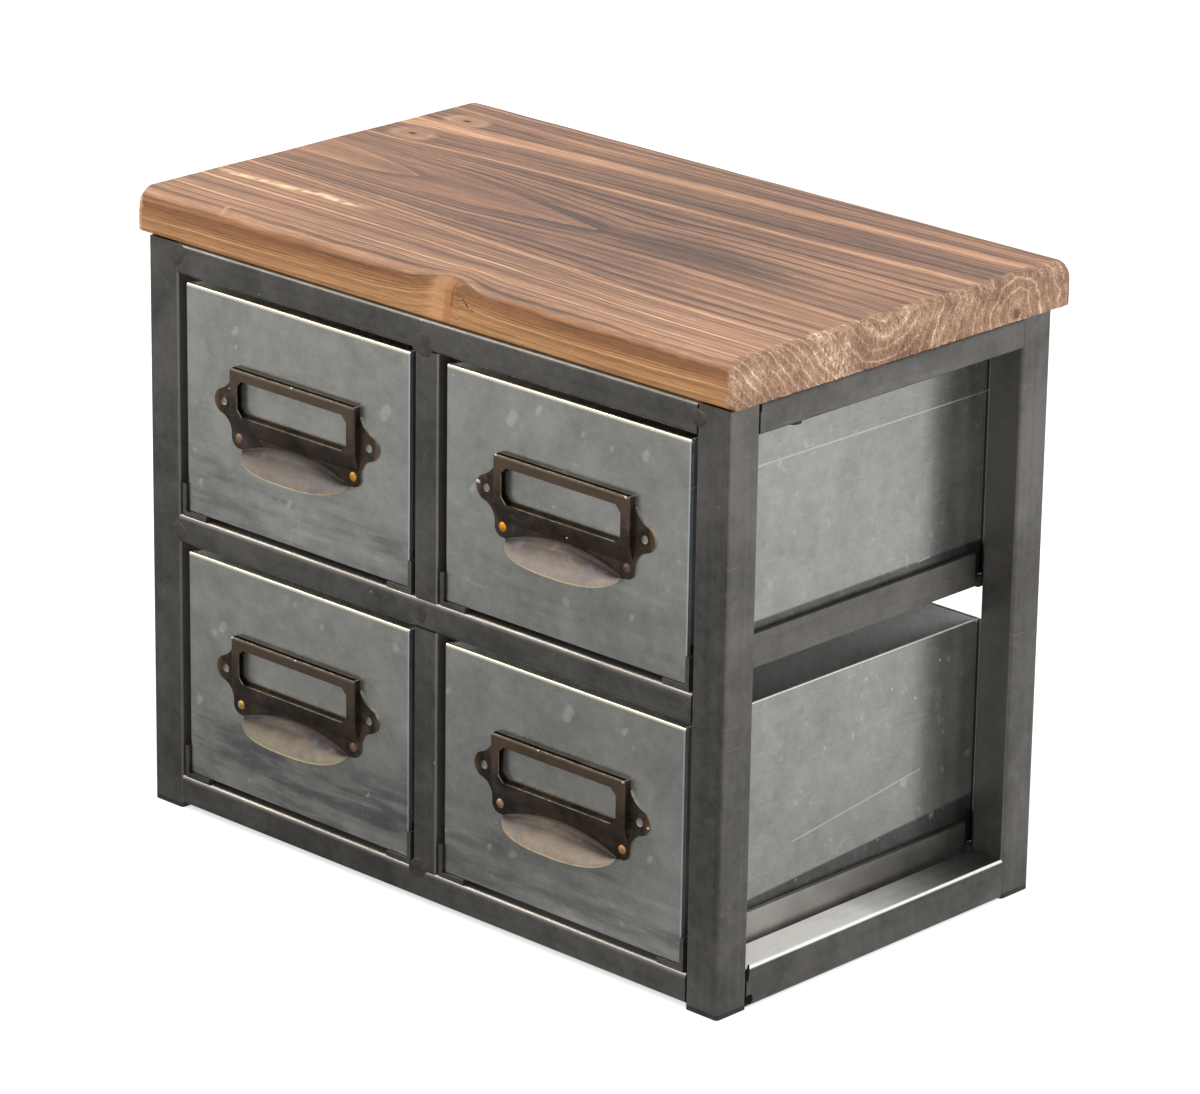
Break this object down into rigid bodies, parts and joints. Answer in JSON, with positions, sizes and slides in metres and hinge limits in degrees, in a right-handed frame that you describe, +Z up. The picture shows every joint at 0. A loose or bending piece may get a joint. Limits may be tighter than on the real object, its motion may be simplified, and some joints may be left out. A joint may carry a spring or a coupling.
{
  "type": "small metal drawer cabinet",
  "caption": "Table-top cabinet: open frame of dark square steel tube, galvanised sheet drawers with label pulls on angle runners, and a solid wood top.",
  "frame": {"origin": "centre of the whole outline seen from above, on the floor under the foot caps", "axes": "+X to the right along the front, +Y to the back, +Z up; the drawers open towards -Y"},
  "size_m": [0.3906, 0.243, 0.3145],
  "materials": {
    "frame_steel": "clear-coated dark steel, satin",
    "galvanised": "galvanised sheet, dull and mottled",
    "carbonised_fir": "scorched and brushed softwood, matt wax",
    "pull_bronze": "dark antique bronze with worn edges",
    "rivet_copper": "worn copper and brass",
    "screw_zinc": "zinc plated",
    "cap_black": "black moulded plastic"
  },
  "bodies": {
    "frame": {"wood_top": "carbonised_fir", "top_screws": "screw_zinc", "post_front_left": "frame_steel", "post_front_right": "frame_steel", "post_rear_left": "frame_steel", "post_rear_right": "frame_steel", "foot_cap_front_left": "cap_black", "foot_cap_front_right": "cap_black", "foot_cap_rear_left": "cap_black", "foot_cap_rear_right": "cap_black", "front_top_rail": "frame_steel", "front_mid_rail": "frame_steel", "front_bottom_rail": "frame_steel", "rear_top_rail": "frame_steel", "rear_mid_angle": "frame_steel", "rear_bottom_angle": "frame_steel", "side_top_rail_left": "frame_steel", "side_top_rail_right": "frame_steel", "side_bottom_rail_left": "frame_steel", "side_bottom_rail_right": "frame_steel", "mullion_upper": "frame_steel", "mullion_lower": "frame_steel", "runner_upper_left_outer": "frame_steel", "runner_upper_left_inner": "frame_steel", "runner_upper_right_inner": "frame_steel", "runner_upper_right_outer": "frame_steel", "runner_lower_left_outer": "frame_steel", "runner_lower_left_inner": "frame_steel", "runner_lower_right_inner": "frame_steel", "runner_lower_right_outer": "frame_steel"},
    "drawer_upper_left": {"upper_left_tray": "galvanised", "upper_left_front": "galvanised", "upper_left_back": "galvanised", "upper_left_pull": "pull_bronze", "upper_left_rivets": "rivet_copper"},
    "drawer_upper_right": {"upper_right_tray": "galvanised", "upper_right_front": "galvanised", "upper_right_back": "galvanised", "upper_right_pull": "pull_bronze", "upper_right_rivets": "rivet_copper"},
    "drawer_lower_left": {"lower_left_tray": "galvanised", "lower_left_front": "galvanised", "lower_left_back": "galvanised", "lower_left_pull": "pull_bronze", "lower_left_rivets": "rivet_copper"},
    "drawer_lower_right": {"lower_right_tray": "galvanised", "lower_right_front": "galvanised", "lower_right_back": "galvanised", "lower_right_pull": "pull_bronze", "lower_right_rivets": "rivet_copper"}
  },
  "joints": [
    {"name": "slide_upper_left", "type": "slide", "parent": "frame", "child": "drawer_upper_left", "axis": [0, -1, 0], "range_m": [-0.0045, 0.17]},
    {"name": "slide_upper_right", "type": "slide", "parent": "frame", "child": "drawer_upper_right", "axis": [0, -1, 0], "range_m": [-0.0045, 0.17]},
    {"name": "slide_lower_left", "type": "slide", "parent": "frame", "child": "drawer_lower_left", "axis": [0, -1, 0], "range_m": [-0.0045, 0.17]},
    {"name": "slide_lower_right", "type": "slide", "parent": "frame", "child": "drawer_lower_right", "axis": [0, -1, 0], "range_m": [-0.0045, 0.17]}
  ]
}
